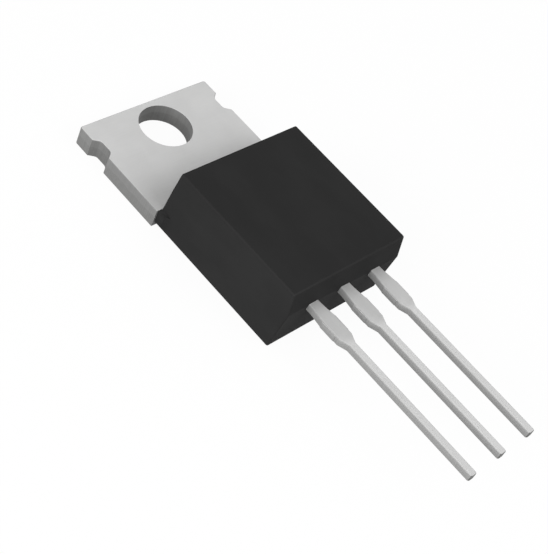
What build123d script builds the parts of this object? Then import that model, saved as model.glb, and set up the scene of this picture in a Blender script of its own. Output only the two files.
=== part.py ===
"""Negative voltage regulator in a three-lead power package, the kind that is bolted down by its metal tab.

Lengths are in millimetres.  The frame is that of the package lying on its back: the origin is on the axis
of the screw hole, at the tab's back face.  +Z comes out of the front of the package, +Y runs to the end of
the tab, and the leads run towards -Y.
"""
import os

from build123d import *

# Driving dimensions -----------------------------------------------------------------------------------------

# tab: the thick part of the stamped lead frame
tab_width = 9.8
tab_thickness = 1.25
hole_diameter = 3.3
tab_end_to_hole = 2.05
tab_exposed_length = 7.1
tab_corner_radius = 0.15
stamped_edge_radius = 0.07
notch_start = 1.15
notch_length = 1.53
notch_depth = 0.42
notch_flank_run = 0.34
notch_corner_radius = 0.12

# pad: the part of the same thick strip that the body hides, with the die on it
pad_width = 7.4
pad_length = 5.9
pad_corner_chamfer = 0.5
neck_fillet = 0.3
lock_groove_from_neck = 0.75
lock_groove_width = 0.5
lock_groove_depth = 0.18

# leads: the thin part of the lead frame
lead_pitch = 2.54
lead_thickness = 0.5
lead_top = 3.05
lead_width = 0.49
lead_edge_chamfer = 0.09
exit_width = 0.82
exit_length = 0.6
exit_flare = 0.9
shoulder_width = 0.98
shoulder_length = 2.85
shoulder_taper = 0.55
lead_length = 12.7
dam_bar_offset = 2.0
dam_bar_width = 1.1
dam_bar_stub = 0.04

# the centre lead's riser, which brings it up from the pad to the lead plane
riser_width = 1.5
riser_flat = 0.35
riser_run = 1.1
riser_radius = 0.45

# bond posts: the wide inner ends of the two outer leads
post_width = 2.0
post_length = 2.0
post_inset = 0.95
post_fillet = 0.2
post_lock_diameter = 0.6

# die and the solder under it
die_width = 2.6
die_length = 2.3
die_thickness = 0.3
die_from_pad_end = 2.5
solder_thickness = 0.05
solder_margin = 0.1

# bond wires: where they are bonded, counted from the middle and the edge of the die and from the post's end
bond_aside = 0.65
bond_fore_and_aft = 0.57
bond_on_pad_from_die = 1.1
bond_on_post_from_end = 0.7

# and their shape, with the bends of the loop at these shares of the way between the two bonds
wire_diameter = 0.25
wire_sides = 10
wire_lift = 0.02
wire_foot_length = 0.7
wire_foot_width = 0.4
wire_foot_thickness = 0.14
long_wire_loop = 0.6
long_wire_bend = 0.34
short_wire_loop = 0.47
short_wire_bend = 0.22
rise_start = 0.22
rise_end = 0.40
fall_start = 0.62
fall_end = 0.84

# moulded body
body_height = 4.5
body_width = 9.13
body_top_width = 9.03
body_bottom_width = 9.03
body_top_length = 9.35
body_top_setback = 0.32
parting_height = 3.0
lead_end_bulge = 0.27
body_edge_radius = 0.1
cheek_length = 0.9
cheek_inset = 0.12
cheek_undercut = 0.5
cheek_root_depth = 0.1

# Positions that follow from them ----------------------------------------------------------------------------

tab_end = tab_end_to_hole
shoulder_line = tab_end - tab_exposed_length
groove_centre = shoulder_line - lock_groove_from_neck
pad_end = shoulder_line - pad_length
die_centre = pad_end + die_from_pad_end

body_top_start = shoulder_line - body_top_setback
lead_end_top = body_top_start - body_top_length
lead_end = lead_end_top - lead_end_bulge
tip = lead_end_top - lead_length
tab_end_draft = body_top_setback / (body_height - tab_thickness)
body_bottom_start = shoulder_line + tab_end_draft * tab_thickness
parting_start = shoulder_line - tab_end_draft * (parting_height - tab_thickness)

lead_plane = lead_top - lead_thickness
post_start = lead_end + post_inset
solder_top = tab_thickness + solder_thickness
die_top = solder_top + die_thickness


# Profiles used by more than one piece -----------------------------------------------------------------------


def lead_outline(centre_x, inner_end):
    """Plan of a lead from inner_end, inside the body, down its shoulder and shank to the tip."""
    exit_end = lead_end_top - exit_length
    shoulder_end = lead_end_top - shoulder_length
    right_side = [
        (centre_x + exit_width / 2, inner_end),
        (centre_x + exit_width / 2, exit_end),
        (centre_x + shoulder_width / 2, exit_end - exit_flare),
        (centre_x + shoulder_width / 2, shoulder_end),
        (centre_x + lead_width / 2, shoulder_end - shoulder_taper),
        (centre_x + lead_width / 2, tip),
    ]
    left_side = [(2 * centre_x - x, y) for x, y in reversed(right_side)]
    with BuildSketch() as outline:
        with BuildLine():
            Polyline(*right_side, *left_side, close=True)
        make_face()
    return outline.sketch


def finish_lead(lead, centre_x, inner_end):
    """Break the lead's edges, which its coat of tin rounds, and add the stubs of the bar cut from its sides."""
    outside = lead.edges().filter_by(lambda edge: edge.center().Y < inner_end - lead_edge_chamfer)
    level = outside.filter_by(Axis.Z, reverse=True)
    upright_at_tip = outside.filter_by(Axis.Z).group_by(Axis.Y)[0]
    chamfer(level + upright_at_tip, lead_edge_chamfer)
    with BuildSketch(Plane.XY.offset(lead_plane + lead_edge_chamfer)) as stubs:
        with Locations((centre_x, lead_end_top - dam_bar_offset)):
            Rectangle(shoulder_width + 2 * dam_bar_stub, dam_bar_width)
    extrude(stubs.sketch, amount=lead_thickness - 2 * lead_edge_chamfer)


# Tab and centre lead: one stamping, thick at the tab and pad, thin at the lead ------------------------------

with BuildPart() as tab_and_input_lead:
    with BuildSketch(Plane.XY):
        with Locations((0, (tab_end + shoulder_line) / 2)):
            Rectangle(tab_width, tab_exposed_length)
        fillet(vertices().group_by(Axis.Y)[-1], tab_corner_radius)

        # a notch in each side of the tab, with sloping flanks and rounded corners
        for side in (-1, 1):
            edge = side * tab_width / 2
            floor = edge - side * notch_depth
            mouth_far = tab_end - notch_start
            mouth_near = mouth_far - notch_length
            with BuildSketch(mode=Mode.PRIVATE) as notch:
                with BuildLine():
                    Polyline(
                        (edge, mouth_far),
                        (floor, mouth_far - notch_flank_run),
                        (floor, mouth_near + notch_flank_run),
                        (edge, mouth_near),
                        close=True,
                    )
                make_face()
                fillet(vertices().sort_by(Axis.X, reverse=side < 0)[:2], notch_corner_radius)
            add(notch.sketch, mode=Mode.SUBTRACT)

        with Locations((0, (shoulder_line + pad_end) / 2)):
            Rectangle(pad_width, pad_length)
        # the four corners along the shoulder line are the tab's own and, between them, the two of the neck
        fillet(vertices().group_by(Axis.Y)[1].sort_by(Axis.X)[1:-1], neck_fillet)
        chamfer(vertices().group_by(Axis.Y)[0], pad_corner_chamfer)
    extrude(amount=tab_thickness)

    # the die that stamped the outline leaves a small rolled edge all round the front face
    front_edges = faces().sort_by(Axis.Z)[-1].outer_wire().edges()
    fillet(front_edges, stamped_edge_radius)

    # screw hole
    Hole(hole_diameter / 2)

    # groove across the pad that the moulding compound keys into
    with BuildSketch(Plane.YZ):
        with BuildLine():
            Polyline(
                (groove_centre - lock_groove_width / 2, tab_thickness),
                (groove_centre + lock_groove_width / 2, tab_thickness),
                (groove_centre, tab_thickness - lock_groove_depth),
                close=True,
            )
        make_face()
    extrude(amount=pad_width / 2, both=True, mode=Mode.SUBTRACT)

    # riser: the thin strip leaves the pad flush with its front face, climbs and levels out
    strip_low = tab_thickness - lead_thickness / 2
    strip_high = lead_top - lead_thickness / 2
    riser_foot = pad_end - riser_flat
    riser_head = riser_foot - riser_run
    riser_end = riser_head - 2 * riser_flat
    with BuildLine(Plane.YZ) as riser_path:
        FilletPolyline(
            (pad_end + riser_flat, strip_low),
            (riser_foot, strip_low),
            (riser_head, strip_high),
            (riser_end, strip_high),
            radius=riser_radius,
        )
    with BuildSketch(Plane.XZ.offset(-(pad_end + riser_flat))):
        with Locations((0, strip_low)):
            Rectangle(riser_width, lead_thickness)
    sweep()

    # the lead itself
    with BuildSketch(Plane.XY.offset(lead_plane)):
        add(lead_outline(0, riser_end))
        with Locations((0, riser_end)):
            Rectangle(riser_width, 2 * riser_flat)
    extrude(amount=lead_thickness)
    finish_lead(tab_and_input_lead, 0, riser_end - riser_flat)

# Outer leads: the ground pin on the left and the output pin on the right ------------------------------------

outer_leads = {}
for name, side in (("ground_lead", -1), ("output_lead", 1)):
    pin_x = side * lead_pitch
    with BuildPart() as lead:
        with BuildSketch(Plane.XY.offset(lead_plane)):
            add(lead_outline(pin_x, post_start))
            with Locations((pin_x, post_start + post_length / 2)):
                Rectangle(post_width, post_length)
            corner_rows = vertices().group_by(Axis.Y)
            lead_side = corner_rows[-2].sort_by(Axis.X)
            fillet([*corner_rows[-1], lead_side[0], lead_side[-1]], post_fillet)
            with Locations((pin_x, post_start + post_fillet + post_lock_diameter / 2)):
                Circle(post_lock_diameter / 2, mode=Mode.SUBTRACT)
        extrude(amount=lead_thickness)
        finish_lead(lead, pin_x, post_start)
    outer_leads[name] = lead

# Die and the solder under it --------------------------------------------------------------------------------

with BuildPart() as die_solder:
    with BuildSketch(Plane.XY.offset(tab_thickness)):
        with Locations((0, die_centre)):
            RectangleRounded(die_width + 2 * solder_margin, die_length + 2 * solder_margin, 2 * solder_margin)
    extrude(amount=solder_thickness)

with BuildPart() as regulator_die:
    with BuildSketch(Plane.XY.offset(solder_top)):
        with Locations((0, die_centre)):
            Rectangle(die_width, die_length)
    extrude(amount=die_thickness)

# Bond wires: each has a flattened foot at either end and one loop between them ------------------------------

post_bond_y = post_start + post_length - bond_on_post_from_end
lead_side_y = die_centre - bond_fore_and_aft
tab_side_y = die_centre + bond_fore_and_aft
pad_bond_y = die_centre + die_length / 2 + bond_on_pad_from_die
ground_bonds = ((-bond_aside, lead_side_y, die_top), (-lead_pitch, post_bond_y, lead_top))
output_bonds = ((bond_aside, lead_side_y, die_top), (lead_pitch, post_bond_y, lead_top))
input_bonds = ((0, tab_side_y, die_top), (0, pad_bond_y, tab_thickness))
wire_runs = {
    "ground_wire": (ground_bonds, long_wire_loop, long_wire_bend),
    "output_wire": (output_bonds, long_wire_loop, long_wire_bend),
    "input_wire": (input_bonds, short_wire_loop, short_wire_bend),
}
bond_wires = {}
for name, (bonds, loop_rise, bend_radius) in wire_runs.items():
    die_bond, far_bond = (Vector(*bond) for bond in bonds)
    reach = Vector(far_bond.X - die_bond.X, far_bond.Y - die_bond.Y, 0)
    along = reach.normalized()
    run_plane = Plane(origin=(die_bond.X, die_bond.Y, 0), x_dir=along, z_dir=along.cross(Vector(0, 0, 1)))
    die_height = die_bond.Z + wire_diameter / 2 + wire_lift
    far_height = far_bond.Z + wire_diameter / 2 + wire_lift
    loop_top = max(die_height, far_height) + loop_rise
    with BuildPart() as wire:
        with BuildLine(run_plane) as loop:
            FilletPolyline(
                (0, die_height),
                (rise_start * reach.length, die_height),
                (rise_end * reach.length, loop_top),
                (fall_start * reach.length, loop_top),
                (fall_end * reach.length, far_height),
                (reach.length, far_height),
                radius=bend_radius,
            )
        # a fine round wire, drawn with flats so that it has few facets
        with BuildSketch(Plane(origin=loop.line @ 0, z_dir=loop.line % 0)):
            RegularPolygon(wire_diameter / 2, wire_sides)
        sweep()
        for bond in bonds:
            with BuildSketch(Plane(origin=bond, x_dir=along, z_dir=(0, 0, 1))):
                Rectangle(wire_foot_length, wire_foot_width)
            extrude(amount=wire_foot_thickness)
    bond_wires[name] = wire

# Moulded body: two drafted halves and a cheek beside each shoulder of the tab, round all the rest -----------

# a cheek is flush with the tab's front face, just inside its side, undercut below, and runs out into the body
cheek_side = tab_width / 2 - cheek_inset
cheek_root = body_bottom_width / 2 - cheek_root_depth
with BuildPart() as tab_cheeks:
    with BuildSketch(Plane.XZ.offset(-body_bottom_start)):
        with BuildLine():
            Polyline(
                (0, 0),
                (cheek_root, 0),
                (cheek_side, cheek_undercut),
                (cheek_side, tab_thickness),
                (0, tab_thickness),
                close=True,
            )
        make_face()
        mirror(about=Plane.YZ)
    extrude(amount=body_bottom_start - shoulder_line + cheek_length)
    with BuildSketch(Plane.XY):
        with BuildLine():
            Polyline(
                (cheek_side, shoulder_line - cheek_length / 2),
                (cheek_side, shoulder_line - cheek_length),
                (cheek_root, shoulder_line - cheek_length),
                close=True,
            )
        make_face()
        mirror(about=Plane.YZ)
    extrude(amount=tab_thickness, mode=Mode.SUBTRACT)

body_sections = (
    (0, body_bottom_width, lead_end_top, body_bottom_start),
    (parting_height, body_width, lead_end, parting_start),
    (body_height, body_top_width, lead_end_top, body_top_start),
)

with BuildPart() as moulded_body:
    for half in (body_sections[:2], body_sections[1:]):
        for height, width, near, far in half:
            with BuildSketch(Plane.XY.offset(height)):
                with Locations((0, (near + far) / 2)):
                    Rectangle(width, far - near)
        loft(ruled=True)

    # the four upright corners of each half, which lean only by the draft
    corner_edges = edges().filter_by(lambda edge: edge.bounding_box().size.Z > body_edge_radius)
    fillet(corner_edges, body_edge_radius)
    fillet(faces().sort_by(Axis.Z)[-1].edges(), body_edge_radius)
    add(tab_cheeks.part)

    # it is cast round everything else
    inserts = {
        "tab_and_input_lead": tab_and_input_lead,
        **outer_leads,
        "die_solder": die_solder,
        "regulator_die": regulator_die,
        **bond_wires,
    }
    for insert in inserts.values():
        add(insert.part, mode=Mode.SUBTRACT)

# Write each piece -------------------------------------------------------------------------------------------

os.makedirs("parts", exist_ok=True)
for name, piece in {**inserts, "moulded_body": moulded_body}.items():
    piece.part.label = name
    export_step(piece.part, f"parts/{name}.step")
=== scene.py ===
import math

import bmesh
import bpy
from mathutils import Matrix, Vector


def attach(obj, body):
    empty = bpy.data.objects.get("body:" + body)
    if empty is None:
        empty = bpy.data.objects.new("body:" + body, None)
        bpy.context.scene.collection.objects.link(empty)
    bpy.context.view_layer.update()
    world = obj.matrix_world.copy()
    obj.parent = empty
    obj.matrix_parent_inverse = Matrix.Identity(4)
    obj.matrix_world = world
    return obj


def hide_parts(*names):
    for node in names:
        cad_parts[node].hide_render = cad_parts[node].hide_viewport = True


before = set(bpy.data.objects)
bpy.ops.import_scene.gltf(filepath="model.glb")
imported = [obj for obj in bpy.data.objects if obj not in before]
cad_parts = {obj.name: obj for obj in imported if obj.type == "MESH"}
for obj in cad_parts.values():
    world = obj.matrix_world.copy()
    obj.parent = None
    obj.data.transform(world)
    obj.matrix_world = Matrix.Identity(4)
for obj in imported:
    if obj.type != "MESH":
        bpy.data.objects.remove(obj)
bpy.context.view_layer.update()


# ---- Camera ----------------------------------------------------------------------------------------
# A long lens, held over the left side of the package and looking across it from the lead end towards
# the tab.  The camera is tilted, so that the package lies from corner to corner of the frame.

mm = 0.001
camera_place = Vector((-49.57, -35.69, 55.77)) * mm
camera_turn = (0.714525, -0.329894, -0.749911)
camera_lens = 89.59
nearest_seen = 1 * mm

bpy.ops.object.camera_add(location=camera_place, rotation=camera_turn)
camera = bpy.context.object
camera.name = "camera"
camera.data.lens = camera_lens
camera.data.clip_start = nearest_seen
bpy.context.scene.camera = camera
bpy.context.scene.view_settings.view_transform = "Standard"


# ---- Table and room --------------------------------------------------------------------------------
# A plain pale table top under the package, and a plain white room that lights it evenly from all
# round.  A large soft lamp hangs beyond the leads, and a smaller one on the left.  The table is grey
# to the light that it throws back, and pale where it is looked at.

table_size = 2.0
table_gap = 0.01 * mm
table_grey = (0.45, 0.45, 0.45, 1)
table_pale = (0.93, 0.93, 0.93, 1)
table_roughness = 0.9
table_whiteness = 0.94
white = (1, 1, 1, 1)
room_light = 0.55
lamp_aim = (0, -0.010, 0)
# name, place, size in metres and power in watts
lamps = (
    ("lamp_over_leads", (0.05, -0.27, 0.30), 0.30, 0.60),
    ("lamp_on_left", (-0.31, -0.02, 0.11), 0.22, 0.88),
)


class Field:
    """One output of a material's nodes.  Arithmetic on it adds the nodes that do it."""

    def __init__(self, tree, socket=None):
        self.tree = tree
        self.socket = socket

    def node(self, kind, settings=None, sockets=None, output=0):
        """Adds a node, gives it its settings and then its sockets, and returns one of its outputs."""
        added = self.tree.nodes.new(kind)
        for name, value in (settings or {}).items():
            setattr(added, name, value)
        for name, value in (sockets or {}).items():
            if isinstance(value, Field):
                self.tree.links.new(value.socket, added.inputs[name])
            else:
                added.inputs[name].default_value = value
        return Field(self.tree, added.outputs[output])

    def maths(self, operation, *terms):
        return self.node("ShaderNodeMath", {"operation": operation}, dict(enumerate(terms)))

    def __add__(self, other):
        return self.maths("ADD", self, other)

    def __sub__(self, other):
        return self.maths("SUBTRACT", self, other)

    def __rsub__(self, other):
        return self.maths("SUBTRACT", other, self)

    def __mul__(self, other):
        return self.maths("MULTIPLY", self, other)

    __radd__ = __add__
    __rmul__ = __mul__

    def ramp(self, low, high):
        """0 below low, 1 above high, and a smooth rise between them."""
        return self.node(
            "ShaderNodeMapRange",
            {"interpolation_type": "SMOOTHSTEP"},
            {"Value": self, "From Min": low, "From Max": high},
        )

    def axis(self, name):
        """One coordinate of this place."""
        return self.node("ShaderNodeSeparateXYZ", {}, {"Vector": self}, output=name)

    def grain(self, pitch, detail=3.0, stretch=(1, 1, 1), turn=0.0):
        """Noise from 0 to 1 at this place.  Its blotches are pitch metres apart, and stretched this many
        times along each axis."""
        placed = self.node(
            "ShaderNodeMapping",
            {"vector_type": "TEXTURE"},
            {"Vector": self, "Rotation": (0, 0, turn), "Scale": tuple(pitch * along for along in stretch)},
        )
        return self.node("ShaderNodeTexNoise", {}, {"Vector": placed, "Scale": 1.0, "Detail": detail})

    def blend(self, first, second):
        """The first colour where this is 0 and the second where it is 1."""
        # the node has several sockets of each name, so those for colours go by number
        return self.node("ShaderNodeMix", {"data_type": "RGBA"}, {0: self, 6: first, 7: second}, output=2)

    def bump(self, height):
        """Surface relief, height metres from the lowest to the highest."""
        return self.node("ShaderNodeBump", {}, {"Height": self, "Distance": height})

    def feeds(self, shader, name):
        self.tree.links.new(self.socket, shader.inputs[name])


def seen_directly(start):
    """1 for what the camera sees, and for what shows in metal or glass, and 0 for the light that falls
    on things."""
    camera_ray = start.node("ShaderNodeLightPath", output="Is Camera Ray")
    glossy_ray = start.node("ShaderNodeLightPath", output="Is Glossy Ray")
    through_ray = start.node("ShaderNodeLightPath", output="Is Transmission Ray")
    return start.maths("MAXIMUM", camera_ray, start.maths("MAXIMUM", glossy_ray, through_ray))


bpy.ops.object.select_all(action="DESELECT")
bpy.ops.mesh.primitive_plane_add(size=table_size, location=(0, 0, -table_gap))
table = bpy.context.object
table.name = "table_top"

table_finish = bpy.data.materials.new("pale_table")
table_finish.use_nodes = True
shader = table_finish.node_tree.nodes["Principled BSDF"]
shader.inputs["Roughness"].default_value = table_roughness
start = Field(table_finish.node_tree)
seen = seen_directly(start)
seen.blend(table_grey, table_pale).feeds(shader, "Base Color")
lit = Field(table_finish.node_tree, shader.outputs["BSDF"])
glow = start.node("ShaderNodeEmission", {}, {"Color": white, "Strength": 1.0})
surface = start.node("ShaderNodeMixShader", {}, {0: seen * table_whiteness, 1: lit, 2: glow})
surface.feeds(table_finish.node_tree.nodes["Material Output"], "Surface")
table.data.materials.append(table_finish)

room = bpy.data.worlds.new("white_room")
bpy.context.scene.world = room
room.use_nodes = True
background = room.node_tree.nodes["Background"]
background.inputs["Color"].default_value = white
(seen_directly(Field(room.node_tree)) * (1 - room_light) + room_light).feeds(background, "Strength")

for name, place, size, power in lamps:
    bpy.ops.object.light_add(type="AREA", location=place)
    lamp = bpy.context.object
    lamp.name = name
    lamp.rotation_euler = (Vector(lamp_aim) - Vector(place)).to_track_quat("-Z", "Y").to_euler()
    lamp.data.size = size
    lamp.data.energy = power


# ---- Tab, die pad and centre lead ------------------------------------------------------------------
# One stamping from copper strip that is rolled thick at the tab and thin at the leads, and tinned all
# over.  The punch rolls the front edges over, and the screw hole and side notches are punched in the
# same tool.  The thin part is bent up from the pad to the height of the leads and is the centre lead.

tab_half_width = 4.9
tab_thickness = 1.25
tab_end = 2.05
shoulder_line = -5.05
tab_corner = 0.15
rolled_edge = 0.07
hole_radius = 1.65
hole_edge = 0.04
hole_facets = 96
hole_reach = hole_radius + 2 * hole_edge
notch_far = 0.90
notch_near = -0.63
notch_depth = 0.42
notch_flank = 0.34
notch_corner = 0.12
punch_clearance = 0.2

pad_half_width = 3.7
pad_end = -10.95
pad_corner = 0.5
neck_radius = 0.3
groove_centre = -5.8
groove_half_width = 0.25
groove_depth = 0.18

strip_thickness = 0.5
strip_overlap = 0.35
strip_low = 2.55
strip_high = 3.05
riser_half_width = 0.75
riser_foot = -11.30
riser_head = -12.40
riser_top = -13.10
riser_bend = 0.2

rounded_from = -14.40
exit_half = 0.375
exit_end = -15.32
shoulder_half = 0.49
shoulder_start = -16.22
shoulder_end = -17.57
shank_half = 0.245
shank_start = -18.12
lead_tip = -27.42
lead_edge = 0.07
tip_corner = 0.12
bar_scar = (-17.27, -16.17)
bar_scar_height = 0.035

# how closely places in mm are compared when parts of a mesh are picked, and how far a face or an edge
# points along an axis
same_place = 0.005
slack = 0.01
mostly = 0.9
partly = 0.3
# the turn in degrees past which an edge is sharp, to be rounded and to be shown
sharp_turn = 30
smooth_turn = 35
merge_gap = 0.0005
round_profile = 0.5


def only(piece):
    """Selects just this piece, and makes it the one that is worked on."""
    bpy.ops.object.select_all(action="DESELECT")
    piece.select_set(True)
    bpy.context.view_layer.objects.active = piece


def start_block(name, low, high):
    """A block between two corners in mm, open for editing."""
    bpy.ops.object.select_all(action="DESELECT")
    centre = (Vector(low) + Vector(high)) * mm / 2
    bpy.ops.mesh.primitive_cube_add(size=mm, location=centre, scale=Vector(high) - Vector(low))
    block = bpy.context.object
    block.name = block.data.name = name
    bpy.ops.object.transform_apply(location=True, rotation=True, scale=True)
    bpy.ops.object.mode_set(mode="EDIT")
    return block


def pick(kind, test):
    """Selects the faces, edges or corners of the piece being edited that pass the test."""
    bpy.ops.mesh.select_mode(type=kind)
    bpy.ops.mesh.select_all(action="DESELECT")
    mesh = bpy.context.object.data
    shape = bmesh.from_edit_mesh(mesh)
    shape.normal_update()
    for part in {"FACE": shape.faces, "EDGE": shape.edges, "VERT": shape.verts}[kind]:
        part.select_set(test(part))
    shape.select_flush_mode()
    bmesh.update_edit_mesh(mesh)


def middle(part):
    """Middle of a face or an edge, in mm."""
    if isinstance(part, bmesh.types.BMFace):
        return part.calc_center_median() / mm
    return (part.verts[0].co + part.verts[1].co) / 2 / mm


def near(a, b, within=same_place):
    return abs(a - b) < within


def is_sharp(edge):
    return len(edge.link_faces) == 2 and edge.calc_face_angle() > math.radians(sharp_turn)


def is_upright(edge):
    rise = edge.verts[0].co - edge.verts[1].co
    return abs(rise.z) > mostly * rise.length


def cut_across(axis, *places):
    """Cuts the whole piece being edited across an axis at each of these places, in mm."""
    normal = [0, 0, 0]
    normal["XYZ".index(axis)] = 1
    for place in places:
        bpy.ops.mesh.select_all(action="SELECT")
        bpy.ops.mesh.bisect(plane_co=Vector(normal) * place * mm, plane_no=normal)


def draw_out(x=0, y=0, z=0):
    """Draws the picked faces out by this many mm."""
    move = {"value": (x * mm, y * mm, z * mm), "orient_type": "GLOBAL"}
    bpy.ops.mesh.extrude_region_move(TRANSFORM_OT_translate=move)


def round_off(radius, steps=3):
    """Rounds the picked edges."""
    bpy.ops.mesh.bevel(
        offset=radius * mm, offset_type="OFFSET", segments=steps, profile=round_profile, affect="EDGES"
    )


def combine(piece, other, operation):
    """Cuts the other piece out of this one, or joins it on, and throws the other away."""
    only(piece)
    step = piece.modifiers.new("step", "BOOLEAN")
    step.operation = operation
    step.solver = "EXACT"
    step.object = other
    bpy.ops.object.modifier_apply(modifier=step.name)
    bpy.data.objects.remove(other)


def draw_lead(centre, inner_end):
    """Draws the picked end of a strip out into a lead, from inside the body to its tip."""
    here = inner_end
    half = exit_half
    for y, next_half in (
        (rounded_from, exit_half),
        (exit_end, exit_half),
        (shoulder_start, shoulder_half),
        (shoulder_end, shoulder_half),
        (shank_start, shank_half),
        (lead_tip, shank_half),
    ):
        draw_out(y=y - here)
        bpy.ops.transform.resize(
            value=(next_half / half, 1, 1), center_override=Vector((centre, y, strip_low)) * mm
        )
        here = y
        half = next_half


def finish_lead(centre):
    """Rounds the lead's edges as its coat of tin does, and leaves the scars of the bar that joined the
    leads until after moulding."""
    pick("EDGE", lambda edge: is_upright(edge) and near(middle(edge).y, lead_tip))
    round_off(tip_corner)
    pick("EDGE", lambda edge: is_sharp(edge) and not is_upright(edge)
         and middle(edge).y < rounded_from and abs(middle(edge).x - centre) < shoulder_half + slack)
    round_off(lead_edge, steps=4)
    cut_across("Y", *bar_scar)
    for side in (-1, 1):
        pick("FACE", lambda face: face.normal.x * side > mostly
             and near(abs(middle(face).x - centre), shoulder_half)
             and bar_scar[0] < middle(face).y < bar_scar[1])
        draw_out(x=side * bar_scar_height)


tab = start_block(
    "tab_and_centre_lead",
    (-tab_half_width, shoulder_line, 0),
    (tab_half_width, tab_end, tab_thickness),
)

# the pad is drawn out of the middle of the shoulder, its corners are cut off and its neck is rounded
cut_across("X", -pad_half_width, pad_half_width)
pick("FACE", lambda face: face.normal.y < -mostly and abs(middle(face).x) < pad_half_width)
draw_out(y=pad_end - shoulder_line)
pick("EDGE", lambda edge: near(middle(edge).z, tab_thickness / 2) and near(middle(edge).y, pad_end))
round_off(pad_corner, steps=1)
pick("EDGE", lambda edge: near(middle(edge).z, tab_thickness / 2)
     and near(middle(edge).y, shoulder_line) and near(abs(middle(edge).x), pad_half_width))
round_off(neck_radius, steps=4)
pick("EDGE", lambda edge: near(middle(edge).z, tab_thickness / 2)
     and near(middle(edge).y, tab_end) and near(abs(middle(edge).x), tab_half_width))
round_off(tab_corner)
bpy.ops.object.mode_set(mode="OBJECT")

# two notches are punched out of the sides
notch_length = notch_far - notch_near
for side in (-1, 1):
    edge_x = side * tab_half_width
    floor_x = side * (tab_half_width - notch_depth)
    punch = start_block(
        "notch_punch",
        (min(edge_x, floor_x), notch_near, -punch_clearance),
        (max(edge_x, floor_x), notch_far, tab_thickness + punch_clearance),
    )
    pick("FACE", lambda face: face.normal.x * side < -mostly)
    bpy.ops.transform.resize(
        value=(1, (notch_length - 2 * notch_flank) / notch_length, 1),
        center_override=Vector((floor_x, (notch_near + notch_far) / 2, 0)) * mm,
    )
    pick("EDGE", lambda edge: near(middle(edge).x, floor_x)
         and near(middle(edge).z, tab_thickness / 2))
    round_off(notch_corner)
    pick("FACE", lambda face: face.normal.x * side > mostly)
    draw_out(x=side * notch_depth)
    bpy.ops.object.mode_set(mode="OBJECT")
    combine(tab, punch, "DIFFERENCE")

# the screw hole
bpy.ops.object.select_all(action="DESELECT")
bpy.ops.mesh.primitive_cylinder_add(
    vertices=hole_facets,
    radius=hole_radius * mm,
    depth=(tab_thickness + 2 * punch_clearance) * mm,
    location=(0, 0, tab_thickness / 2 * mm),
)
combine(tab, bpy.context.object, "DIFFERENCE")

# the front edges are rolled over all round, and more finely at the hole
bpy.ops.object.mode_set(mode="EDIT")
pick("EDGE", lambda edge: is_sharp(edge) and near(middle(edge).z, tab_thickness)
     and middle(edge).to_2d().length > hole_reach)
round_off(rolled_edge)
pick("EDGE", lambda edge: is_sharp(edge) and near(middle(edge).z, tab_thickness)
     and middle(edge).to_2d().length < hole_reach)
round_off(hole_edge, steps=2)

# a groove is pressed across the pad, for the moulding compound to key into
cut_across("Y", groove_centre - groove_half_width, groove_centre, groove_centre + groove_half_width)
pick("VERT", lambda corner: near(corner.co.y / mm, groove_centre)
     and corner.co.z / mm > tab_thickness - rolled_edge - slack)
bpy.ops.transform.translate(value=(0, 0, -groove_depth * mm))
bpy.ops.object.mode_set(mode="OBJECT")

# the thin strip leaves the pad's front, climbs to the height of the leads and runs out as the lead
strip = start_block(
    "centre_strip",
    (-riser_half_width, riser_foot, tab_thickness - strip_thickness),
    (riser_half_width, pad_end + strip_overlap, tab_thickness),
)
pick("FACE", lambda face: face.normal.y < -mostly)
draw_out(y=riser_head - riser_foot, z=strip_high - tab_thickness)
draw_out(y=riser_top - riser_head)
pick("EDGE", lambda edge: abs(edge.verts[0].co.x - edge.verts[1].co.x) > riser_half_width * mm
     and (near(middle(edge).y, riser_foot) or near(middle(edge).y, riser_head)))
round_off(riser_bend)
cut_across("X", -exit_half, exit_half)
pick("FACE", lambda face: face.normal.y < -mostly and abs(middle(face).x) < exit_half)
draw_lead(0, riser_top)
finish_lead(0)
bpy.ops.object.mode_set(mode="OBJECT")
combine(tab, strip, "UNION")

tin_metallic = 0.25
tin_warmth = 0.003
cloud_share = 0.5
streak_share = 0.3
crystal_share = 0.2
noise_middle = 0.5
most_of_noise = (0.3, 0.7)
nearly_all_of_noise = (0.25, 0.75)

plate_tones = (0.54, 0.60)
# darker tin in front of the body: painted shade of the body on the tab
tab_shaded_tones = (0.455, 0.515)
cloud_pitch = 1.6 * mm
roll_pitch = 0.05 * mm
crystal_pitch = 0.03 * mm
stroke_pitch = 0.12 * mm
stroke_turn = 0.75
stroke_range = (0.66, 0.74)
plate_roughness = 0.55
cloud_roughness = 0.10
streak_roughness = 0.08
stroke_polish = 0.08
streak_height = 0.5
crystal_height = 0.4
stroke_height = 0.3
plate_relief = 0.0012 * mm
# where the painted shade of the body on the tab begins and where it is full, and how far its edge wanders
tab_shade_from = -2.0 * mm
tab_shade_to = -4.6 * mm
tab_shade_wander = 0.6 * mm

lead_tones = (0.56, 0.62)
# tones for duller tin where the mould clamped the leads, and for painted shade beside the body
dull_and_shaded_tones = (0.37, 0.44)
lead_cloud_pitch = 0.9 * mm
drawn_pitch = 0.04 * mm
lead_crystal_pitch = 0.025 * mm
lead_roughness = 0.56
drawn_roughness = 0.10
drawn_height = 0.7
lead_crystal_height = 0.3
lead_relief = 0.0004 * mm
clamped_from = -18.15 * mm
clamped_to = -17.60 * mm
clamped_share = 0.5
# painted shade of the body on the leads, beside the body
lead_shade_from = -16.20 * mm
lead_shade_to = -15.00 * mm
lead_shade_share = 0.5
dull_and_shade_wander = 0.4 * mm

# the sides are darker than the front's tin, partly for their sheared surface and partly as painted shade of
# sides turned from the light
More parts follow.
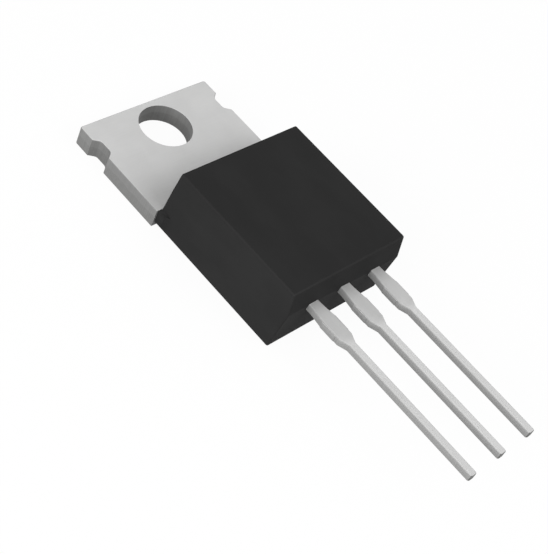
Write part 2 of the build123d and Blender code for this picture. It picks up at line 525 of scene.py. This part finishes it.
shaded_tab_side_tones = (0.215, 0.155)
# darker still in the hole and the notches: painted shade in these recesses
punched_shade_tones = (0.175, 0.125)
shaded_lead_side_tones = (0.31, 0.25)
# the cut tips are darkest, partly for the bare cut and partly as painted shade of ends turned from the
# light
cut_shade_tones = (0.14, 0.10)
coated_from = 0.4
coated_to = 0.1
drag_pitch = 0.05 * mm
drag_share = 0.5
drag_roughness = 0.08
drag_height = 0.5
tear_pitch = 0.06 * mm
tear_share = 0.4
tear_wander_pitch = 0.5 * mm
tear_wander = 0.25 * mm
torn_part = 0.55
torn_blur = 0.05 * mm
torn_darkening = 0.1
torn_roughness = 0.10
torn_relief = 0.002 * mm
sheared_roughness = 0.50


def new_finish(name, metallic=0.0):
    """A new material, with its shader and the place on the piece."""
    finish = bpy.data.materials.new(name)
    finish.use_nodes = True
    shader = finish.node_tree.nodes["Principled BSDF"]
    shader.inputs["Metallic"].default_value = metallic
    place = Field(finish.node_tree).node("ShaderNodeTexCoord", output="Object")
    return finish, shader, place


def tin(level):
    """The colour of tin at this lightness, which is slightly warm."""
    return (level, level, level - tin_warmth, 1)


def between(shade, tones):
    """Tin that goes from the first of two tones to the second, by this shade from 0 to 1."""
    first, second = tones
    return shade.blend(tin(first), tin(second))


def tin_shade(clouds, streaks, crystals):
    """How light the tin is from place to place, from 0 to 1."""
    return (
        clouds.ramp(*most_of_noise) * cloud_share
        + streaks.ramp(*nearly_all_of_noise) * streak_share
        + crystals.ramp(*most_of_noise) * crystal_share
    )


def plate_grain(place):
    """The clouds in the tin on the tab, the faint streaks that the rolls left in the strip under it, and
    its crystals."""
    clouds = place.grain(cloud_pitch, detail=4)
    streaks = place.grain(roll_pitch, stretch=(40, 1, 4))
    crystals = place.grain(crystal_pitch, detail=2)
    return clouds, streaks, crystals


def plate_colour(place):
    """Matt tin.  It is darker towards the body, with painted shade where the body shades the tab."""
    clouds, streaks, crystals = plate_grain(place)
    shade = tin_shade(clouds, streaks, crystals)
    towards_body = (clouds - noise_middle) * tab_shade_wander - place.axis("Y")
    painted_body_shade = towards_body.ramp(-tab_shade_from, -tab_shade_to)
    return painted_body_shade.blend(between(shade, plate_tones), between(shade, tab_shaded_tones))


def lead_grain(place):
    """The clouds in the tin on the leads, the fine lines drawn along them, and its crystals."""
    clouds = place.grain(lead_cloud_pitch, detail=4, stretch=(1, 3, 1))
    streaks = place.grain(drawn_pitch, stretch=(1, 30, 1))
    crystals = place.grain(lead_crystal_pitch, detail=2)
    return clouds, streaks, crystals


def lead_colour(place):
    """Bright tin.  It is duller where the mould clamped the leads, between the body and the bar, and darker
    still beside the body, with painted shade where the body shades them."""
    clouds, streaks, crystals = lead_grain(place)
    shade = tin_shade(clouds, streaks, crystals)
    along = place.axis("Y") + (clouds - noise_middle) * dull_and_shade_wander
    clamped = along.ramp(clamped_from, clamped_to)
    painted_lead_shade = along.ramp(lead_shade_from, lead_shade_to)
    dull_and_shade = clamped * clamped_share + painted_lead_shade * lead_shade_share
    return dull_and_shade.blend(between(shade, lead_tones), between(shade, dull_and_shaded_tones))


def sheared_finish(name, tones, heights, tin_colour):
    """A sheared edge between two heights in mm: the punch burnishes the upper part, tears the rest and
    drags upright lines down both.  Round the upper corner the tin is as on the front."""
    low, high, corner = heights
    finish, shader, place = new_finish(name, tin_metallic)
    drag = place.grain(drag_pitch, stretch=(1, 1, 30))
    tear = place.grain(tear_pitch, detail=4)
    wander = (place.grain(tear_wander_pitch) - noise_middle) * tear_wander
    torn_below = (low + torn_part * (high - low)) * mm
    torn = 1 - (place.axis("Z") + wander).ramp(torn_below - torn_blur, torn_below + torn_blur)
    # the tones carry painted shade as well as the marks of the shear
    tone = (
        drag.ramp(*nearly_all_of_noise) * drag_share
        + tear.ramp(*most_of_noise) * torn * tear_share
        + torn * torn_darkening
    )
    coated = place.axis("Z").ramp((high - coated_from * corner) * mm, (high + coated_to * corner) * mm)
    coated.blend(between(tone, tones), tin_colour(place)).feeds(shader, "Base Color")
    (sheared_roughness + torn * torn_roughness + drag * drag_roughness).feeds(shader, "Roughness")
    (drag * drag_height + tear * torn).bump(torn_relief).feeds(shader, "Normal")
    return finish


tin_on_tab, shader, place = new_finish("tin_on_tab", tin_metallic)
clouds, streaks, crystals = plate_grain(place)
scratches = place.grain(stroke_pitch, detail=2, stretch=(22, 1, 1), turn=stroke_turn)
strokes = scratches.ramp(*stroke_range)
plate_colour(place).feeds(shader, "Base Color")
roughness = plate_roughness + clouds * cloud_roughness + streaks * streak_roughness
(roughness - strokes * stroke_polish).feeds(shader, "Roughness")
relief = streaks * streak_height + crystals * crystal_height + strokes * stroke_height
relief.bump(plate_relief).feeds(shader, "Normal")

tin_on_leads, shader, place = new_finish("tin_on_leads", tin_metallic)
clouds, streaks, crystals = lead_grain(place)
lead_colour(place).feeds(shader, "Base Color")
(lead_roughness + streaks * drawn_roughness).feeds(shader, "Roughness")
relief = streaks * drawn_height + crystals * lead_crystal_height
relief.bump(lead_relief).feeds(shader, "Normal")

tab_heights = (0, tab_thickness, rolled_edge)
lead_heights = (strip_low, strip_high, lead_edge)
# finishes for the sides, the hole, the notches and the tips, whose tones carry painted shade
sheared_shaded_tab = sheared_finish("sheared_shaded_tab", shaded_tab_side_tones, tab_heights, plate_colour)
punched_shaded_tab = sheared_finish("punched_shaded_tab", punched_shade_tones, tab_heights, plate_colour)
sheared_shaded_lead = sheared_finish("sheared_shaded_lead", shaded_lead_side_tones, lead_heights, lead_colour)
cut_shaded_lead = sheared_finish("cut_shaded_lead", cut_shade_tones, lead_heights, lead_colour)


def finish_mesh(piece):
    """Smooths what is round, keeps what is flat, and makes sure that the outside faces out."""
    only(piece)
    bpy.ops.object.mode_set(mode="EDIT")
    bpy.ops.mesh.select_all(action="SELECT")
    bpy.ops.mesh.remove_doubles(threshold=merge_gap * mm)
    bpy.ops.mesh.normals_make_consistent(inside=False)
    bpy.ops.object.mode_set(mode="OBJECT")
    bpy.ops.object.shade_smooth_by_angle(angle=math.radians(smooth_turn))
    even = piece.modifiers.new("even", "WEIGHTED_NORMAL")
    even.keep_sharp = True
    bpy.ops.object.modifier_apply(modifier=even.name)


def coat(piece, *finishes):
    """Gives the piece its finishes.  The first goes all over it."""
    piece.data.materials.clear()
    for finish in finishes:
        piece.data.materials.append(finish)


def put_finish(finish, test):
    """Puts one of the piece's finishes on the faces that pass the test."""
    bpy.ops.object.mode_set(mode="EDIT")
    pick("FACE", test)
    piece = bpy.context.object
    piece.active_material_index = piece.data.materials.find(finish.name)
    bpy.ops.object.material_slot_assign()
    bpy.ops.object.mode_set(mode="OBJECT")


def is_side(face):
    """A sheared side, with all but the top of the rounded corner over it."""
    return abs(face.normal.z) < mostly


def is_punched(face):
    """In the screw hole or in a side notch."""
    at = middle(face)
    in_notch = notch_near < at.y < notch_far and abs(at.x) < tab_half_width - slack
    return at.to_2d().length < hole_reach or in_notch


def is_in_groove(face):
    """In the groove across the pad."""
    return near(middle(face).y, groove_centre, groove_half_width) and abs(face.normal.y) > partly


def is_cut_end(face):
    """At the tip, where the lead was cut to length."""
    return face.normal.y < -partly and middle(face).y < lead_tip + lead_edge


finish_mesh(tab)
coat(tab, tin_on_tab, sheared_shaded_tab, punched_shaded_tab, tin_on_leads, sheared_shaded_lead, cut_shaded_lead)
put_finish(sheared_shaded_tab, lambda face: is_side(face) and middle(face).y > pad_end)
put_finish(punched_shaded_tab, lambda face: is_side(face) and is_punched(face))
put_finish(tin_on_tab, is_in_groove)
put_finish(tin_on_leads, lambda face: middle(face).y < pad_end and not is_side(face))
put_finish(sheared_shaded_lead, lambda face: middle(face).y < pad_end and is_side(face))
put_finish(cut_shaded_lead, is_cut_end)
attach(tab, "root")
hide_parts("tab_and_input_lead")


# ---- Outer leads -----------------------------------------------------------------------------------
# The ground and output leads are cut from the thin part of the same strip.  Each has a wide post in
# the body, with a hole that the moulding compound flows through, and is trimmed from its neighbours
# after moulding.

lead_pitch = 2.54
post_start = -14.04
post_end = -12.04
post_half = 1.0
post_round = 0.2
post_hole_radius = 0.3
post_hole_facets = 32
post_hole_y = post_start + post_round + post_hole_radius

lead = start_block(
    "ground_lead_tinned",
    (-lead_pitch - post_half, post_start, strip_low),
    (-lead_pitch + post_half, post_end, strip_high),
)
pick("EDGE", lambda edge: near(middle(edge).z, (strip_low + strip_high) / 2))
round_off(post_round, steps=4)
cut_across("X", -lead_pitch - exit_half, -lead_pitch + exit_half)
pick("FACE", lambda face: face.normal.y < -mostly and near(middle(face).x, -lead_pitch, exit_half))
draw_lead(-lead_pitch, post_start)
finish_lead(-lead_pitch)
bpy.ops.object.mode_set(mode="OBJECT")
bpy.ops.object.select_all(action="DESELECT")
bpy.ops.mesh.primitive_cylinder_add(
    vertices=post_hole_facets,
    radius=post_hole_radius * mm,
    depth=(strip_thickness + 2 * punch_clearance) * mm,
    location=Vector((-lead_pitch, post_hole_y, (strip_low + strip_high) / 2)) * mm,
)
combine(lead, bpy.context.object, "DIFFERENCE")
finish_mesh(lead)
coat(lead, tin_on_leads, sheared_shaded_lead, cut_shaded_lead)
put_finish(sheared_shaded_lead, is_side)
put_finish(cut_shaded_lead, is_cut_end)

only(lead)
bpy.ops.object.duplicate()
other_lead = bpy.context.object
other_lead.name = other_lead.data.name = "output_lead_tinned"
bpy.ops.transform.translate(value=(2 * lead_pitch * mm, 0, 0))
bpy.ops.object.transform_apply(location=True, rotation=True, scale=True)

for piece, node in ((lead, "ground_lead"), (other_lead, "output_lead")):
    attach(piece, "root")
    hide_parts(node)


# ---- Die and its solder ----------------------------------------------------------------------------
# The silicon die is soldered to the front of the pad, so that its back is joined to the tab.  Both are
# out of sight in the body.

frost_pitch = 0.12 * mm
frost_relief = 0.01 * mm
solder_dark = (0.42, 0.42, 0.44, 1)
solder_light = (0.62, 0.62, 0.63, 1)
solder_roughness = 0.30
frost_roughness = 0.25
cell_pitch = 0.4 * mm
track_share = 0.03
track_colour = (0.55, 0.52, 0.45, 1)
cell_dark = (0.05, 0.06, 0.10, 1)
cell_light = (0.07, 0.08, 0.13, 1)
silicon_metallic = 0.4
polish_pitch = 0.3 * mm
polished_roughness = 0.12
polish_roughness = 0.1


def finish_node(name, finish):
    """Puts a finish on one of the solids that are shown as they are."""
    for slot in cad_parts[name].material_slots:
        slot.material = finish


solder, shader, place = new_finish("lead_tin_solder", metallic=1.0)
frost = place.grain(frost_pitch, detail=4)
frost.blend(solder_dark, solder_light).feeds(shader, "Base Color")
(solder_roughness + frost * frost_roughness).feeds(shader, "Roughness")
frost.bump(frost_relief).feeds(shader, "Normal")
finish_node("die_solder", solder)

silicon, shader, place = new_finish("polished_silicon", silicon_metallic)
cells = place.node(
    "ShaderNodeTexBrick",
    {"offset": 0.0},
    {
        "Vector": place,
        "Scale": 1 / cell_pitch,
        "Mortar Size": track_share,
        "Mortar": track_colour,
        "Color1": cell_dark,
        "Color2": cell_light,
    },
)
cells.feeds(shader, "Base Color")
(polished_roughness + place.grain(polish_pitch) * polish_roughness).feeds(shader, "Roughness")
finish_node("regulator_die", silicon)


# ---- Bond wires ------------------------------------------------------------------------------------
# Drawn aluminium wires, welded by ultrasound to the die, to the posts and to the pad.  The welding
# tool flattens each end into a foot and leaves fine marks on it.

wire_dark = (0.68, 0.69, 0.70, 1)
wire_light = (0.84, 0.85, 0.86, 1)
wire_roughness = 0.25
weld_mark_pitch = 0.03 * mm
weld_mark_roughness = 0.15
weld_mark_relief = 0.002 * mm

aluminium, shader, place = new_finish("drawn_aluminium", metallic=1.0)
marks = place.grain(weld_mark_pitch, stretch=(1, 1, 4))
marks.blend(wire_dark, wire_light).feeds(shader, "Base Color")
(wire_roughness + marks * weld_mark_roughness).feeds(shader, "Roughness")
marks.bump(weld_mark_relief).feeds(shader, "Normal")
for node in ("ground_wire", "output_wire", "input_wire"):
    finish_node(node, aluminium)


# ---- Moulded body ----------------------------------------------------------------------------------
# Black epoxy, moulded round all the rest in a two-part mould that meets in the plane of the leads.
# Its sides lean for release, the lead end bulges at the joint of the mould, and small cheeks grip the
# tab's shoulders.

body_top_z = 4.5
joint_z = 3.0
# half width, lead end and tab side of the body at its foot, at the joint of the mould and at its top
foot_outline = (4.515, -14.72, -4.927)
joint_outline = (4.565, -14.99, -5.222)
top_outline = (4.515, -14.72, -5.37)
body_edge = 0.1
foot_edge = 0.04
joint_line = 0.02
joint_line_height = 0.012
cheek_root = 3.9
cheek_side = 4.78
cheek_length = 0.9
cheek_chamfer = 0.36
core_depth = 0.5
core_growth = 0.004


def fit_face(outline):
    """Brings the picked level face from the outline at the joint of the mould to this one."""
    half_width, lead_end, tab_side = outline
    joint_half_width, joint_lead_end, joint_tab_side = joint_outline
    joint_middle = (joint_lead_end + joint_tab_side) / 2
    bpy.ops.transform.resize(
        value=(half_width / joint_half_width, (tab_side - lead_end) / (joint_tab_side - joint_lead_end), 1),
        center_override=Vector((0, joint_middle, 0)) * mm,
    )
    bpy.ops.transform.translate(value=(0, ((lead_end + tab_side) / 2 - joint_middle) * mm, 0))


body = start_block(
    "moulded_body_black",
    (-joint_outline[0], joint_outline[1], 0),
    (joint_outline[0], joint_outline[2], joint_z),
)
pick("FACE", lambda face: face.normal.z > mostly)
draw_out(z=body_top_z - joint_z)
fit_face(top_outline)
pick("FACE", lambda face: face.normal.z < -mostly)
fit_face(foot_outline)
pick("EDGE", lambda edge: near(middle(edge).z, body_top_z)
     or abs(edge.verts[0].co.z - edge.verts[1].co.z) > (body_top_z - joint_z) / 2 * mm)
round_off(body_edge, steps=4)
pick("EDGE", lambda edge: near(middle(edge).z, 0) and is_sharp(edge))
round_off(foot_edge, steps=2)

# the joint of the mould leaves a fine raised line all round
cut_across("Z", joint_z - joint_line, joint_z + joint_line)
pick("FACE", lambda face: near(middle(face).z, joint_z, joint_line) and is_side(face))
bpy.ops.mesh.extrude_region_shrink_fatten(
    TRANSFORM_OT_shrink_fatten={"value": joint_line_height * mm}
)
bpy.ops.object.mode_set(mode="OBJECT")

# the cheeks
for side in (-1, 1):
    cheek = start_block(
        "cheek",
        (min(side * cheek_side, side * cheek_root), shoulder_line - cheek_length, 0),
        (max(side * cheek_side, side * cheek_root), shoulder_line, tab_thickness),
    )
    pick("EDGE", lambda edge: near(abs(middle(edge).x), cheek_side) and near(middle(edge).z, 0))
    round_off(cheek_chamfer, steps=1)
    pick("EDGE", lambda edge: near(abs(middle(edge).x), cheek_side, within=cheek_chamfer)
         and near(middle(edge).y, shoulder_line - cheek_length)
         and not near(middle(edge).z, tab_thickness))
    round_off(cheek_chamfer, steps=1)
    bpy.ops.object.mode_set(mode="OBJECT")
    combine(body, cheek, "UNION")

# The body is cast round everything else, so each piece is cut out of it.  The tab stands on the floor
# of the mould, so its core goes on down through the floor.  The cores of the small pieces are a
# little full, so that each runs into the next.
small_pieces = []
for name in ("die_solder", "regulator_die", "ground_wire", "output_wire", "input_wire"):
    small_pieces.append(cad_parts[name])
for insert in (tab, lead, other_lead, *small_pieces):
    only(insert)
    bpy.ops.object.duplicate()
    core = bpy.context.object
    core.parent = None
    bpy.ops.object.mode_set(mode="EDIT")
    bpy.ops.mesh.select_all(action="SELECT")
    bpy.ops.mesh.remove_doubles(threshold=merge_gap * mm)
    if insert == tab:
        pick("VERT", lambda corner: near(corner.co.z / mm, 0))
        bpy.ops.transform.translate(value=(0, 0, -core_depth * mm))
    elif insert in small_pieces:
        bpy.ops.transform.shrink_fatten(value=core_growth * mm)
    bpy.ops.object.mode_set(mode="OBJECT")
    combine(body, core, "DIFFERENCE")

black_tones = (0.0235, 0.0285)
# a lighter tone on the rounded top front edge: a painted highlight
edge_highlight_tones = (0.028, 0.034)
highlight_lean = 0.2
flow_pitch = 1.8 * mm
flow_share = 0.6
flow_roughness = 0.12
pit_pitch = 0.045 * mm
pit_roughness = 0.10
pit_height = 0.7
speckle_pitch = 0.02 * mm
speckle_share = 0.4
speckle_range = (0.3, 0.8)
speckle_height = 0.3
compound_relief = 0.006 * mm
compound_roughness = 0.52
compound_shine = 0.015


def compound_finish(name, tones):
    """Moulding compound: matt black, with the fine pits of a spark-eroded mould, and clouded by the flow
    of the resin."""
    dark, light = tones
    finish, shader, place = new_finish(name)
    pits = place.grain(pit_pitch)
    speckle = place.grain(speckle_pitch, detail=2)
    flow = place.grain(flow_pitch, detail=4, stretch=(1, 2, 1))
    shade = flow.ramp(*most_of_noise) * flow_share + speckle.ramp(*speckle_range) * speckle_share
    shade.blend((dark, dark, dark, 1), (light, light, light, 1)).feeds(shader, "Base Color")
    shader.inputs["Specular IOR Level"].default_value = compound_shine
    (compound_roughness + flow * flow_roughness + pits * pit_roughness).feeds(shader, "Roughness")
    (pits * pit_height + speckle * speckle_height).bump(compound_relief).feeds(shader, "Normal")
    return finish


def is_on_highlighted_edge(face):
    """On the rounded front edge over the leads, where a highlight is painted."""
    leans = face.normal.z > highlight_lean and face.normal.y < -highlight_lean
    return leans and middle(face).z > body_top_z - body_edge - slack


compound = compound_finish("black_compound", black_tones)
highlighted_edge_compound = compound_finish("highlighted_edge_compound", edge_highlight_tones)

finish_mesh(body)
coat(body, compound, highlighted_edge_compound)
put_finish(highlighted_edge_compound, is_on_highlighted_edge)
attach(body, "root")
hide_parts("moulded_body")
